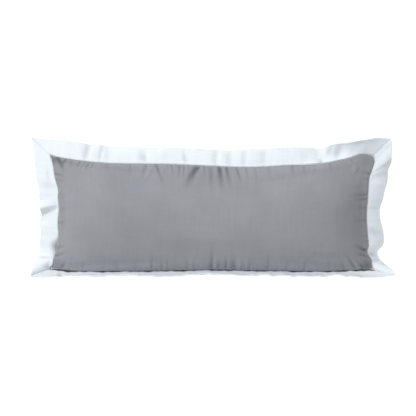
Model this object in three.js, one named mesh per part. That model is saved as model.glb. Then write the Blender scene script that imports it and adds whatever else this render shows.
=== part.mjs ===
// A lumbar pillow lying on its back: one filled grey cushion inside a flat white flange.
// The flange is four double-layer cotton strips with mitred corners. Three of them droop
// from the seam, and the lower one is curled up along the edge that the pillow stood on.
// Millimetres, +Z up and out of the grey face, +X to the right and +Y to the upper edge
// for someone who looks at that face.
import * as THREE from "three";

const FLANGE_WIDTH = 50; // from the seam to the folded outer edge
const FLANGE_THICKNESS = 2.4; // two layers of cotton with their turnings
const SEAM_THICKNESS = 3; // the cushion's rim, where its two panels are sewn together
const GAP = 0.3; // left between pieces that are sewn to each other
const CROWN = 51; // how far the face swells above the blend of its seams
const UNDERSIDE = 72; // how far the back would swell below it with nothing under it
const FLATTENING = 5; // how softly the back turns from round to flat on the surface
const PANEL = { length: { cells: 74, crowding: 0.45 }, width: { cells: 30, crowding: 0.6 } };
const FLANGE_CELLS = 6; // from the seam to the outer edge
const COLOURS = { grey: 0x96999f, white: 0xeef3f6 };

// Where the seam turns, and how far the flange's mitred tip lies from there.
const CORNERS = {
  upperLeft: { seam: [-410, 147, 43], tip: [-51, 45, -20], run: 85 },
  upperRight: { seam: [409, 146, 43], tip: [40, 42, 34], run: 60 },
  lowerRight: { seam: [410, -143, 42], tip: [51, -10, 47], run: 24 },
  lowerLeft: { seam: [-411, -141, 42], tip: [-47, -15, 49], run: 36 },
};

// Each side runs between two corners, with one row for each station along it: the share of
// the way, how far the seam is drawn in and raised there, and the flange's slope in
// degrees at its root and at its outer edge, where a drooping slope is negative.
const SIDES = {
  upper: {
    from: "upperLeft",
    to: "upperRight",
    out: [0, 1],
    rows: [
      { along: 0.0, drawn: 0, raised: 0, root: -16, edge: -44 },
      { along: 0.08, drawn: 11.5, raised: 2, root: -12, edge: -38 },
      { along: 0.18, drawn: 19, raised: 5, root: -20, edge: -52 },
      { along: 0.35, drawn: 21, raised: 6, root: -18, edge: -50 },
      { along: 0.5, drawn: 25.5, raised: 7, root: -22, edge: -56 },
      { along: 0.62, drawn: 29, raised: 7, root: -14, edge: -42 },
      { along: 0.74, drawn: 23.5, raised: 6, root: -22, edge: -38 },
      { along: 0.8, drawn: 22, raised: 5, root: -42, edge: -28 },
      { along: 0.84, drawn: 20, raised: 4, root: -60, edge: -32 },
      { along: 0.88, drawn: 14.5, raised: 3, root: -64, edge: 34 },
      { along: 0.92, drawn: 7.5, raised: 2, root: -38, edge: 78 },
      { along: 0.955, drawn: -3, raised: 1, root: 4, edge: 76 },
      { along: 0.98, drawn: -4.5, raised: 0, root: 20, edge: 54 },
      { along: 1.0, drawn: 0, raised: 0, root: 12, edge: 36 },
    ],
  },
  right: {
    from: "upperRight",
    to: "lowerRight",
    out: [1, 0],
    rows: [
      { along: 0.0, drawn: 0, raised: 0, root: 12, edge: 36 },
      { along: 0.04, drawn: -4, raised: 0, root: 34, edge: 46 },
      { along: 0.08, drawn: -2, raised: 1, root: 40, edge: 28 },
      { along: 0.14, drawn: 4, raised: 2, root: 24, edge: -54 },
      { along: 0.2, drawn: 9.5, raised: 3, root: 0, edge: -40 },
      { along: 0.37, drawn: 13.5, raised: 6, root: -16, edge: -46 },
      { along: 0.52, drawn: 16.5, raised: 8, root: -26, edge: -56 },
      { along: 0.69, drawn: 13.5, raised: 6, root: -18, edge: -54 },
      { along: 0.79, drawn: 10.5, raised: 5, root: -20, edge: -52 },
      { along: 0.86, drawn: 14, raised: 4, root: -44, edge: -64 },
      { along: 0.92, drawn: 2, raised: 1, root: -20, edge: -100 },
      { along: 0.96, drawn: 1, raised: 0, root: -10, edge: -92 },
      { along: 1.0, drawn: 0, raised: 0, root: 10, edge: 40 },
    ],
  },
  lower: {
    from: "lowerRight",
    to: "lowerLeft",
    out: [0, -1],
    rows: [
      { along: 0.0, drawn: 0, raised: 0, root: 48, edge: 90 },
      { along: 0.07, drawn: -2, raised: 1, root: 52, edge: 104 },
      { along: 0.15, drawn: -3.5, raised: 3, root: 55, edge: 108 },
      { along: 0.35, drawn: -1.5, raised: 5, root: 53, edge: 107 },
      { along: 0.5, drawn: 0, raised: 6, root: 55, edge: 109 },
      { along: 0.65, drawn: -2.5, raised: 5, root: 53, edge: 107 },
      { along: 0.85, drawn: -5, raised: 3, root: 57, edge: 111 },
      { along: 0.95, drawn: -4.5, raised: 1, root: 55, edge: 107 },
      { along: 1.0, drawn: 0, raised: 0, root: 46, edge: 88 },
    ],
  },
  left: {
    from: "lowerLeft",
    to: "upperLeft",
    out: [-1, 0],
    rows: [
      { along: 0.0, drawn: 0, raised: 0, root: 10, edge: 30 },
      { along: 0.07, drawn: 5, raised: 1, root: -24, edge: -44 },
      { along: 0.16, drawn: 12, raised: 3, root: -16, edge: -40 },
      { along: 0.23, drawn: 16, raised: 4, root: -10, edge: -34 },
      { along: 0.3, drawn: 19.5, raised: 5, root: -8, edge: -32 },
      { along: 0.39, drawn: 17.5, raised: 6, root: -8, edge: -32 },
      { along: 0.55, drawn: 21.5, raised: 7, root: -6, edge: -26 },
      { along: 0.63, drawn: 18.5, raised: 6, root: -4, edge: -20 },
      { along: 0.69, drawn: 20, raised: 5, root: -2, edge: -14 },
      { along: 0.8, drawn: 11, raised: 3, root: -2, edge: -20 },
      { along: 0.91, drawn: 5.5, raised: 1, root: -2, edge: -24 },
      { along: 1.0, drawn: 0, raised: 0, root: -6, edge: -28 },
    ],
  },
};

// Soft folds that cross the flange. Each is a ridge, or a trough where its height is
// negative, that grows from the seam to the outer edge and leans along the side.
const FLANGE_FOLDS = {
  upper: [
    { along: 0.045, height: 3, width: 0.02, lean: 0.01 },
    { along: 0.115, height: -5, width: 0.016, lean: 0.004 },
    { along: 0.16, height: 4, width: 0.014, lean: -0.012 },
    { along: 0.31, height: -4, width: 0.03, lean: 0.01 },
    { along: 0.46, height: 3, width: 0.016, lean: 0 },
    { along: 0.55, height: -4, width: 0.018, lean: 0.004 },
    { along: 0.66, height: -4, width: 0.018, lean: -0.004 },
    { along: 0.82, height: 2, width: 0.03, lean: 0.02 },
    { along: 0.9, height: -3, width: 0.025, lean: 0.02 },
  ],
  right: [
    { along: 0.17, height: 6, width: 0.06, lean: 0.05 },
    { along: 0.46, height: -3, width: 0.07, lean: 0 },
    { along: 0.66, height: 5, width: 0.08, lean: 0.02 },
  ],
  lower: [
    { along: 0.1, height: 3, width: 0.022, lean: 0.01 },
    { along: 0.2, height: -3, width: 0.02, lean: 0 },
    { along: 0.33, height: 4, width: 0.028, lean: 0.01 },
    { along: 0.41, height: -3, width: 0.018, lean: 0 },
    { along: 0.52, height: 3, width: 0.024, lean: -0.01 },
    { along: 0.63, height: -3, width: 0.02, lean: 0 },
    { along: 0.74, height: 3, width: 0.026, lean: 0.01 },
    { along: 0.86, height: -3, width: 0.02, lean: 0 },
  ],
  left: [
    { along: 0.16, height: -4, width: 0.05, lean: 0 },
    { along: 0.53, height: -8, width: 0.035, lean: -0.07 },
    { along: 0.59, height: 8, width: 0.035, lean: -0.05 },
    { along: 0.84, height: 3, width: 0.05, lean: 0.03 },
  ],
};

// Puckers that the seam draws into the face: where each starts, how deep it is, how far
// it reaches inwards, its half width, and how far it leans along the side on the way.
const PUCKERS = {
  upper: [
    { along: 0.1, depth: 3, reach: 34, width: 9, lean: -10 },
    { along: 0.145, depth: 3, reach: 30, width: 8, lean: -10 },
    { along: 0.3, depth: 3.5, reach: 60, width: 10, lean: -20 },
    { along: 0.345, depth: 3.5, reach: 60, width: 10, lean: 22 },
    { along: 0.41, depth: 3, reach: 50, width: 9, lean: 2 },
    { along: 0.455, depth: 4.5, reach: 62, width: 12, lean: -14 },
    { along: 0.525, depth: 4.5, reach: 74, width: 11, lean: 6 },
    { along: 0.56, depth: 4, reach: 56, width: 9, lean: 14 },
    { along: 0.59, depth: 4, reach: 60, width: 9, lean: 20 },
    { along: 0.66, depth: 3, reach: 66, width: 11, lean: 16 },
    { along: 0.76, depth: 3, reach: 44, width: 10, lean: 8 },
    { along: 0.88, depth: 2.5, reach: 36, width: 9, lean: 10 },
  ],
  right: [
    { along: 0.2, depth: 4, reach: 30, width: 9, lean: 8 },
    { along: 0.4, depth: 3, reach: 48, width: 9, lean: 0 },
    { along: 0.58, depth: 2.5, reach: 36, width: 9, lean: -4 },
    { along: 0.87, depth: 5, reach: 34, width: 10, lean: 14 },
  ],
  lower: [
    { along: 0.08, depth: 3, reach: 26, width: 9, lean: 6 },
    { along: 0.3, depth: 3, reach: 34, width: 10, lean: -4 },
    { along: 0.43, depth: 4, reach: 44, width: 9, lean: 0 },
    { along: 0.47, depth: 3.5, reach: 36, width: 8, lean: 2 },
    { along: 0.51, depth: 4, reach: 44, width: 9, lean: -2 },
    { along: 0.62, depth: 2.5, reach: 40, width: 10, lean: 4 },
    { along: 0.8, depth: 2.5, reach: 34, width: 10, lean: 6 },
    { along: 0.95, depth: 3.5, reach: 28, width: 8, lean: 8 },
  ],
  left: [
    { along: 0.08, depth: 4, reach: 28, width: 9, lean: -8 },
    { along: 0.3, depth: 2.5, reach: 30, width: 9, lean: 4 },
    { along: 0.62, depth: 2.5, reach: 36, width: 9, lean: 0 },
    { along: 0.78, depth: 4, reach: 30, width: 8, lean: -10 },
    { along: 0.84, depth: 3, reach: 26, width: 8, lean: -8 },
  ],
};

const UP = new THREE.Vector3(0, 0, 1);
const { lerp, degToRad, smoothstep } = THREE.MathUtils;
const bell = (distance) => Math.exp(-distance * distance);

// One column of a side's table as a smooth curve through its rows.
function column(rows, name, along) {
  const last = rows.length - 1;
  const at = rows.findIndex((row) => row.along >= along);
  const k = Math.max(0, (at < 0 ? last : at) - 1);
  const slope = (i) => {
    const a = rows[Math.max(0, i - 1)];
    const b = rows[Math.min(last, i + 1)];
    return (b[name] - a[name]) / (b.along - a.along);
  };
  const [a, b] = [rows[k], rows[k + 1]];
  const span = b.along - a.along;
  const t = (along - a.along) / span;
  const [t2, t3] = [t * t, t * t * t];
  return (
    (2 * t3 - 3 * t2 + 1) * a[name] +
    (t3 - 2 * t2 + t) * span * slope(k) +
    (3 * t2 - 2 * t3) * b[name] +
    (t3 - t2) * span * slope(k + 1)
  );
}

const corner = (name) => new THREE.Vector3(...CORNERS[name].seam);
const tipOf = (name) => new THREE.Vector3(...CORNERS[name].tip);

// A point of the seam, by its share of the way along a side.
function seam(side, along) {
  const { from, to, out, rows } = SIDES[side];
  const point = corner(from).lerp(corner(to), along);
  const drawn = column(rows, "drawn", along);
  point.x -= out[0] * drawn;
  point.y -= out[1] * drawn;
  point.z += column(rows, "raised", along);
  return point;
}

// Shares of the way along a side at which the cushion's panels have their points. They
// crowd towards the ends, where the cushion is steepest.
function stations({ cells, crowding }) {
  const even = Array.from({ length: cells + 1 }, (_, i) => i / cells);
  return even.map((t) => lerp(t, (1 - Math.cos(Math.PI * t)) / 2, crowding));
}

const PANEL_STATIONS = { length: stations(PANEL.length), width: stations(PANEL.width) };
const isLong = (side) => SIDES[side].out[0] === 0;
const sideStations = (side) => (isLong(side) ? PANEL_STATIONS.length : PANEL_STATIONS.width);

// The same seam as it runs straight from one of the panel's points to the next.
function stitchLine(side, along) {
  const places = sideStations(side);
  const next = Math.max(1, places.findIndex((place) => place >= along));
  const [a, b] = [places[next - 1], places[next]];
  return seam(side, a).lerp(seam(side, b), (along - a) / (b - a));
}

// How far a flange whose slope turns evenly from root to edge has gone out and up.
function flangeSection(root, edge, share) {
  const start = degToRad(root);
  const end = lerp(start, degToRad(edge), share);
  const turn = end - start;
  const length = FLANGE_WIDTH * share;
  if (Math.abs(turn) < 1e-3) {
    return [length * Math.cos(start), length * Math.sin(start)];
  }
  return [
    (length * (Math.sin(end) - Math.sin(start))) / turn,
    (length * (Math.cos(start) - Math.cos(end))) / turn,
  ];
}

// How far out a sloping sheet starts, so that its inner edge clears what it is sewn to.
const clearance = (slope) => GAP + (FLANGE_THICKNESS / 2) * Math.abs(Math.sin(slope));

// A point of the flange's middle layer: along a side, and from the seam to the outer edge.
function flange(side, along, share) {
  const { from, to, out, rows } = SIDES[side];
  const outward = new THREE.Vector3(...out, 0);
  const [root, edge] = [column(rows, "root", along), column(rows, "edge", along)];
  const [reach, lift] = flangeSection(root, edge, share);
  const start = outward.clone().multiplyScalar(clearance(degToRad(root)));
  const offset = outward.clone().multiplyScalar(reach).addScaledVector(UP, lift);
  for (const fold of FLANGE_FOLDS[side]) {
    const away = (along - fold.along - fold.lean * share) / fold.width;
    const across = new THREE.Vector3(-out[0] * lift, -out[1] * lift, reach);
    offset.addScaledVector(across.normalize(), fold.height * share * bell(away));
  }
  const sideLength = corner(from).distanceTo(corner(to));
  for (const [name, distance] of [[from, along], [to, 1 - along]]) {
    const weight = 1 - smoothstep(distance * sideLength, 0, CORNERS[name].run);
    const tip = tipOf(name);
    const room = clearance(Math.asin(tip.z / tip.length()));
    start.lerp(new THREE.Vector3(Math.sign(tip.x) * room, Math.sign(tip.y) * room, 0), weight);
    offset.lerp(tip.multiplyScalar(share), weight);
  }
  return stitchLine(side, along).add(start).add(offset);
}

// The upright direction and the joint's sideways direction at a mitre.
function mitre(name) {
  const tip = tipOf(name).normalize();
  const sideways = new THREE.Vector3(-tip.y, tip.x, 0).normalize();
  return { sideways, upright: new THREE.Vector3().crossVectors(sideways, tip).negate() };
}

// Where the thickness of the strip points at a grid point.
function flangeNormal(side, along, share) {
  const step = 1e-3;
  const difference = (a, b, c, d) => flange(side, a, b).sub(flange(side, c, d));
  const forward = difference(
    Math.min(1, along + step), share,
    Math.max(0, along - step), share,
  );
  const outward = difference(
    along, Math.min(1, share + step),
    along, Math.max(0, share - step),
  );
  return new THREE.Vector3().crossVectors(forward, outward).normalize();
}

function geometry(points, faces) {
  const shape = new THREE.BufferGeometry();
  const flat = points.flatMap((point) => [point.x, point.y, point.z]);
  shape.setAttribute("position", new THREE.Float32BufferAttribute(flat, 3));
  shape.setIndex(faces);
  shape.computeVertexNormals();
  return shape;
}

// A closed slab between two layers of the same grid. Its rows run along the piece, and the
// points of each row run to the right of that, so that the upper layer faces up.
function slab(upperRows, lowerRows) {
  const rows = upperRows.length;
  const columns = upperRows[0].length;
  const points = [...upperRows.flat(), ...lowerRows.flat()];
  const upper = (i, j) => i * columns + j;
  const lower = (i, j) => rows * columns + i * columns + j;
  const faces = [];
  const quad = (a, b, c, d) => faces.push(a, b, c, a, c, d);
  for (let i = 0; i < rows - 1; i++) {
    for (let j = 0; j < columns - 1; j++) {
      quad(upper(i, j), upper(i, j + 1), upper(i + 1, j + 1), upper(i + 1, j));
      quad(lower(i, j), lower(i + 1, j), lower(i + 1, j + 1), lower(i, j + 1));
    }
    quad(upper(i, 0), upper(i + 1, 0), lower(i + 1, 0), lower(i, 0));
    const j = columns - 1;
    quad(upper(i, j), lower(i, j), lower(i + 1, j), upper(i + 1, j));
  }
  for (let j = 0; j < columns - 1; j++) {
    quad(upper(0, j), lower(0, j), lower(0, j + 1), upper(0, j + 1));
    const i = rows - 1;
    quad(upper(i, j), upper(i, j + 1), lower(i, j + 1), lower(i, j));
  }
  return geometry(points, faces);
}

// One strip of the flange, from mitre to mitre. It has a point wherever the panel has one,
// and the short strips, which turn more sharply, have one between each two as well.
function flangeStrip(side) {
  const { from, to, out } = SIDES[side];
  const between = (place, i, all) => (i === 0 ? [place] : [(all[i - 1] + place) / 2, place]);
  const places = isLong(side) ? sideStations(side) : sideStations(side).flatMap(between);
  const [upperRows, lowerRows] = [[], []];
  places.forEach((along, i) => {
    const end = i === 0 ? from : i === places.length - 1 ? to : null;
    const [upperRow, lowerRow] = [[], []];
    for (let j = FLANGE_CELLS; j >= 0; j--) {
      const share = j / FLANGE_CELLS;
      const point = flange(side, along, share);
      let upright = flangeNormal(side, along, share);
      if (end) {
        const joint = mitre(end);
        upright = joint.upright;
        const away = i === 0 ? 1 : -1;
        const forward = new THREE.Vector3(out[1], -out[0], 0);
        const towards = Math.sign(joint.sideways.dot(forward)) * away;
        point.addScaledVector(joint.sideways, (towards * GAP) / 2);
      }
      upright.multiplyScalar(FLANGE_THICKNESS / 2);
      if (share === 0 && !end) {
        // The inner edge stays clear of the cushion where the strip twists.
        const outward = new THREE.Vector3(...out, 0);
        const room = point.clone().sub(stitchLine(side, along)).dot(outward);
        const needed = GAP + Math.abs(upright.dot(outward));
        point.addScaledVector(outward, Math.max(0, needed - room));
      }
      upperRow.push(point.clone().add(upright));
      lowerRow.push(point.clone().sub(upright));
    }
    upperRows.push(upperRow);
    lowerRows.push(lowerRow);
  });
  return slab(upperRows, lowerRows);
}

// A point of the plane in which the four seams lie, blended from all of them.
function seamPlane(u, v) {
  const top = seam("upper", u);
  const bottom = seam("lower", 1 - u);
  const left = seam("left", v);
  const right = seam("right", 1 - v);
  const across = bottom.clone().lerp(top, v).add(left.clone().lerp(right, u));
  const low = corner("lowerLeft").lerp(corner("lowerRight"), u);
  const high = corner("upperLeft").lerp(corner("upperRight"), u);
  return across.sub(low.lerp(high, v));
}

// How full the cushion is at a place, from 0 on the seam to 1 along its middle.
function fullness(u, v) {
  const [x, y] = [Math.abs(2 * u - 1), Math.abs(2 * v - 1)];
  const ends = Math.pow(1 - Math.pow(x, 5), 0.85);
  const sides = Math.pow(1 - Math.pow(y, 2.2), 0.8);
  return ends * sides;
}

// How deep the puckers are at a place on the face, given the distance in from each side.
function puckerDepth(u, v, size) {
  const places = [
    ["upper", u, 1 - v, size.length, size.width],
    ["lower", 1 - u, v, size.length, size.width],
    ["left", v, u, size.width, size.length],
    ["right", 1 - v, 1 - u, size.width, size.length],
  ];
  let depth = 0;
  for (const [side, along, inward, length, span] of places) {
    const distance = inward * span;
    for (const fold of PUCKERS[side]) {
      const run = distance / fold.reach;
      const sideways = ((along - fold.along) * length - fold.lean * run) / fold.width;
      const fade = Math.min(1, distance / 10) * Math.max(0, 1 - run) ** 1.5;
      depth += fold.depth * fade * bell(sideways);
    }
  }
  return depth;
}

function filledCushion() {
  const size = {
    length: corner("upperLeft").distanceTo(corner("upperRight")),
    width: corner("upperLeft").distanceTo(corner("lowerLeft")),
  };
  const [face, back] = [[], []];
  for (const u of PANEL_STATIONS.length) {
    const [faceRow, backRow] = [[], []];
    for (const v of PANEL_STATIONS.width.toReversed()) {
      const middle = seamPlane(u, v);
      const full = fullness(u, v);
      const above = SEAM_THICKNESS / 2 + CROWN * full - puckerDepth(u, v, size);
      const free = middle.z - SEAM_THICKNESS / 2 - UNDERSIDE * full;
      faceRow.push(middle.clone().setZ(middle.z + Math.max(above, SEAM_THICKNESS / 2)));
      backRow.push(middle.clone().setZ(resting(free)));
    }
    face.push(faceRow);
    back.push(backRow);
  }
  return slab(face, back);
}

// The height of the back over the surface: round where it is free, and flat where it rests.
function resting(free) {
  if (free <= -FLATTENING) {
    return 0;
  }
  return free >= FLATTENING ? free : (free + FLATTENING) ** 2 / (4 * FLATTENING);
}

function fabric(name, colour) {
  return new THREE.MeshStandardMaterial({ name, color: colour, roughness: 0.9, metalness: 0 });
}

function piece(name, shape, material) {
  const mesh = new THREE.Mesh(shape, material);
  mesh.name = name;
  return mesh;
}

const greyCotton = fabric("grey_cotton", COLOURS.grey);
const whiteCotton = fabric("white_cotton", COLOURS.white);
const pillow = new THREE.Group();
pillow.add(piece("filled_cushion", filledCushion(), greyCotton));
for (const side of Object.keys(SIDES)) {
  pillow.add(piece("flange_" + side, flangeStrip(side), whiteCotton));
}

// The origin is under the middle of the whole pillow, on the surface that it lies on.
const box = new THREE.Box3().setFromObject(pillow);
const middle = box.getCenter(new THREE.Vector3());
pillow.position.set(-middle.x, -middle.y, -box.min.z);

export default pillow;
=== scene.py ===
# %% [markdown]
# # A lumbar pillow with a mitred flange
# The real thing is a long filled cushion of grey cotton. A flat border of white cotton, the
# flange, is sewn round it: four double strips that meet in mitred seams at the corners.
# This lesson dresses a fixed frame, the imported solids, with cloth. Everything is in metres.
# X runs along the pillow, Y to its upper edge, and Z out of its face.

import math

import bmesh
import bpy
import numpy as np
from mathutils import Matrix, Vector
from mathutils.bvhtree import BVHTree


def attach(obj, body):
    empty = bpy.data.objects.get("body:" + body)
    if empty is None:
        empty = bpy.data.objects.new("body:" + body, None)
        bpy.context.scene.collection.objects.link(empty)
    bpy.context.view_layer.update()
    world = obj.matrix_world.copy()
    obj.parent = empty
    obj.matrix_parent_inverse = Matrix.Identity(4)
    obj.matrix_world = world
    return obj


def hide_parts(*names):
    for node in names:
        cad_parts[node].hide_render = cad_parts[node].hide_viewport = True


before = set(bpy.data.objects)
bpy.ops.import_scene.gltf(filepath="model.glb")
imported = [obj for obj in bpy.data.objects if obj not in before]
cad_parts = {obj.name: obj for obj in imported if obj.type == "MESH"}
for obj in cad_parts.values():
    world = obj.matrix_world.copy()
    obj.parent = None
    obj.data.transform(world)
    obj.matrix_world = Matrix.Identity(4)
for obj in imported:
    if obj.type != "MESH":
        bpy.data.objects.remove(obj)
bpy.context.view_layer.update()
bpy.ops.object.select_all(action="DESELECT")
MM = 0.001
print("solids:", sorted(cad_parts))

# %% [markdown]
# ## The seam
# Front and back panel are sewn to each other along one closed line, and the flange comes out
# of that line. It is never straight on a filled cushion: the filling pulls it in between the
# corners. The solid has the line as a low upright rim, so it is read from there, and the
# cloth then starts exactly where the frame says.

# %% Read the seam from the solid's rim
RIM = 3.0 * MM  # height of the rim, where the two panels are sewn together
UPRIGHT = 0.02  # the normal of an upright face rises less than this
DECIMALS = 5  # corners that agree to a hundredth of a millimetre are one point of the rim

cushion_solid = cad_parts["filled_cushion"]


def rim_points(solid):
    """The points of the upright rim, halfway up, in order round the cushion."""
    found = {}
    for face in solid.data.polygons:
        corners = [solid.data.vertices[i].co for i in face.vertices]
        heights = [c.z for c in corners]
        upright = abs(face.normal.z) < UPRIGHT
        if upright and max(heights) - min(heights) < 2 * RIM:
            for c in corners:
                key = (round(c.x, DECIMALS), round(c.y, DECIMALS))
                found.setdefault(key, []).append(c.z)
    points = np.array([[x, y, (min(z) + max(z)) / 2] for (x, y), z in found.items()])
    middle = points.mean(axis=0)
    around = np.arctan2(points[:, 1] - middle[1], points[:, 0] - middle[0])
    return points[np.argsort(-around)]


def split_at_corners(points):
    """The four sides, each from its first corner to its second, clockwise from the upper left."""
    lean = [(-1, 1), (1, 1), (1, -1), (-1, -1)]
    corners = [int(np.argmax(points[:, 0] * a + points[:, 1] * b)) for a, b in lean]
    points = np.roll(points, -corners[0], axis=0)
    corners = [(c - corners[0]) % len(points) for c in corners] + [len(points)]
    closed = np.vstack([points, points[:1]])
    return [closed[a : b + 1] for a, b in zip(corners, corners[1:])]


seam = rim_points(cushion_solid)
SIDES = dict(zip(("upper", "right", "lower", "left"), split_at_corners(seam)))
AXIS_OF = {"upper": 0, "right": 1, "lower": 0, "left": 1}
seam_centre = Vector(np.mean([side[0] for side in SIDES.values()], axis=0))
print("seam points:", len(seam), "centre:", [round(c, 4) for c in seam_centre])

# %% [markdown]
# ## Camera
# The photograph looks almost straight at the face, from a little above. A short lens would
# make the near parts look larger than the far ones, and there is none of that, so this one is
# long and stands well back. The camera comes first.

# %% Camera at the photograph's angle
PHOTO_WIDTH = 416  # pixels
SCALE = 2.55 * MM  # of the pillow per pixel
CENTRE_IN_PHOTO = (3.8, 4.2)  # pixels right of and below the middle of the photograph
TILT = math.radians(4)  # the camera stands this far above the line out of the face
LENS = 115  # mm
SENSOR = 36  # mm
DISTANCE = PHOTO_WIDTH * SCALE * LENS / SENSOR

camera_data = bpy.data.cameras.new("camera")
camera_data.lens = LENS
camera_data.sensor_width = SENSOR
camera = bpy.data.objects.new("camera", camera_data)
bpy.context.collection.objects.link(camera)
aim = seam_centre + Vector((-CENTRE_IN_PHOTO[0], CENTRE_IN_PHOTO[1], 0)) * SCALE
camera.location = aim + Vector((0, math.sin(TILT), math.cos(TILT))) * DISTANCE
camera.rotation_euler = (-TILT, 0, 0)
bpy.context.scene.camera = camera
print("camera distance:", round(DISTANCE, 2), "m")

# %% [markdown]
# ## The cushion's two panels
# A maker cuts two flat panels, sews them face to face, turns them and fills them. So each
# panel starts as a flat grid, whose UV map is the cloth as it was cut, and every point of it
# is then carried to its place on the filled solid. The four seam lines are blended over the
# panel (a Coons patch), and a ray gives the height. Rows are spaced evenly along the curved
# cloth, and not along the floor, so that no thread is stretched at the steep sides.

# %% Cut the panels and place them on the solid
PANEL_CUT = (0.850, 0.305)  # flat length and width
PANEL_CELLS = (170, 60)  # each about 5 mm square
STEEP_SIDE = 30 * MM  # up to here from the seam the cloth keeps some of the solid's steepness
SMOOTH_ROUNDS = 14
SMOOTH_STEP = 0.8  # the share of the way to its neighbours' mean that a point goes each time
FINE_SHARES = np.linspace(0, 1, 201)
SAMPLE_LINES = np.array([0.3, 0.5, 0.7])  # lines across the panel whose mean length counts


def side_line(side):
    """One side of the seam, from its left or lower end."""
    line, axis = SIDES[side], AXIS_OF[side]
    return line if line[0, axis] < line[-1, axis] else line[::-1]


def seam_at(side, shares):
    """Points of one side of the seam, at shares of the way along it."""
    line, axis = side_line(side), AXIS_OF[side]
    at = line[0, axis] + (line[-1, axis] - line[0, axis]) * shares
    return np.stack([np.interp(at, line[:, axis], line[:, k]) for k in range(3)], axis=1)


def blend_seams(us, vs):
    """The seam lines blended over the panel: an array of points, one row for each u."""
    upper, lower = seam_at("upper", us)[:, None], seam_at("lower", us)[:, None]
    left, right = seam_at("left", vs)[None], seam_at("right", vs)[None]
    u, v = us[:, None, None], vs[None, :, None]
    along = lower * (1 - v) + upper * v
    across = left * (1 - u) + right * u
    flat = (left[:, :1] * (1 - u) + right[:, :1] * u) * (1 - v)
    flat = flat + (left[:, -1:] * (1 - u) + right[:, -1:] * u) * v
    return along + across - flat


def height_of(solid, point, side):
    """Height of the solid's face (side 1) or back (side -1) over a point, or None."""
    start = Vector((point[0], point[1], side))
    hit, where, _normal, _face = solid.ray_cast(start, Vector((0, 0, -side)))
    return where.z if hit else None


def laid_on_solid(us, vs, side):
    """The blended points, each at the solid's own height. The seam's points are on its rim."""
    points = blend_seams(us, vs)
    last = (len(us) - 1, len(vs) - 1)
    for i, j in np.ndindex(len(us), len(vs)):
        on_seam = i in (0, last[0]) or j in (0, last[1])
        height = None if on_seam else height_of(cushion_solid, points[i, j], side)
        rim = points[i, j, 2] + side * RIM / 2
        points[i, j, 2] = rim if height is None else height
    return points


def smooth(share):
    """A soft step, from 0 where the share is 0 or less to 1 where it is 1 or more."""
    share = np.clip(share, 0, 1)
    return share * share * (3 - 2 * share)


def facets_rounded(points, us, vs):
    """The solid's flat facets rounded off. The cloth near the seam keeps its steep sides."""
    from_edge = np.minimum(np.minimum(us, 1 - us)[:, None] * PANEL_CUT[0],
                           np.minimum(vs, 1 - vs)[None, :] * PANEL_CUT[1])
    share = smooth(from_edge / STEEP_SIDE)
    for _ in range(SMOOTH_ROUNDS):
        z = points[:, :, 2]
        mean = z.copy()
        mean[1:-1, 1:-1] = (z[:-2, 1:-1] + z[2:, 1:-1] + z[1:-1, :-2] + z[1:-1, 2:]) / 4
        points[:, :, 2] = z + SMOOTH_STEP * share * (mean - z)
    return points


def even_shares(cells, axis, side):
    """Shares of the way across the panel that are evenly spaced along the cloth."""
    if axis == 0:
        lines = laid_on_solid(FINE_SHARES, SAMPLE_LINES, side).transpose(1, 0, 2)
    else:
        lines = laid_on_solid(SAMPLE_LINES, FINE_SHARES, side)
    steps = np.linalg.norm(np.diff(lines, axis=1), axis=2).mean(axis=0)
    length = np.concatenate([[0], np.cumsum(steps)])
    return np.interp(np.linspace(0, length[-1], cells + 1), length, FINE_SHARES)


# %% [markdown]
# The pillow stood on its lower edge, and its filling has sagged there. So the panels swell a
# little over the lower seam, which is tucked in under them. A ray along Z can't see such an
# overhang, so the points are pushed out after they were laid on the solid.

# %% Let the panels swell over the lower seam
SWELL = 9 * MM  # most of it a quarter of the way up from the seam to the crown
SWELL_ENDS = 0.05  # the share of the length in which it fades towards each corner
SWELL_TOP = 0.6  # the share of the width at which it ends
SWELL_FADE = 0.35  # and the share in which it fades before that


def swell_over_lower_seam(placed, us, vs):
    above = np.abs(placed[:, :, 2] - placed[:, :1, 2])
    up = np.clip(above / above.max(axis=1, keepdims=True).clip(MM), 0, 1)
    ends = smooth(us / SWELL_ENDS) * smooth((1 - us) / SWELL_ENDS)
    lower_half = smooth((SWELL_TOP - vs) / SWELL_FADE)
    placed[:, :, 1] -= SWELL * ends[:, None] * lower_half[None, :] * np.sin(math.pi * up**0.5)


def panel(name, side):
    """A flat panel of cloth, laid on the face (side 1) or the back (side -1) of the solid."""
    bpy.ops.mesh.primitive_grid_add(
        x_subdivisions=PANEL_CELLS[0], y_subdivisions=PANEL_CELLS[1], size=1, calc_uvs=True
    )
    cloth = bpy.context.object
    cloth.name = name
    layer = cloth.data.uv_layers.active.data
    for corner in layer:
        corner.uv = (corner.uv[0] * PANEL_CUT[0], corner.uv[1] * PANEL_CUT[1])
    us, vs = even_shares(PANEL_CELLS[0], 0, side), even_shares(PANEL_CELLS[1], 1, side)
    placed = facets_rounded(laid_on_solid(us, vs, side), us, vs)
    swell_over_lower_seam(placed, us, vs)
    for vertex in cloth.data.vertices:
        i = round((vertex.co.x + 0.5) * PANEL_CELLS[0])
        j = round((vertex.co.y + 0.5) * PANEL_CELLS[1])
        vertex.co = placed[i, j]
    if side < 0:
        cloth.data.flip_normals()
    return cloth


# %% [markdown]
# Each panel is one grid primitive with its UV map in metres. The face gets its name at once,
# because it becomes the cushion, and the back's faces are turned over so that they look down.

# %% Make the face and the back
face = panel("cushion", 1)
back = panel("back", -1)
print("panels:", len(face.data.vertices), "and", len(back.data.vertices), "points")

# %% [markdown]
# Sewing them together is one operator: the two open edges are bridged by a narrow band of
# faces. Then the whole is one closed form, which a pressure can fill.

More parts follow.
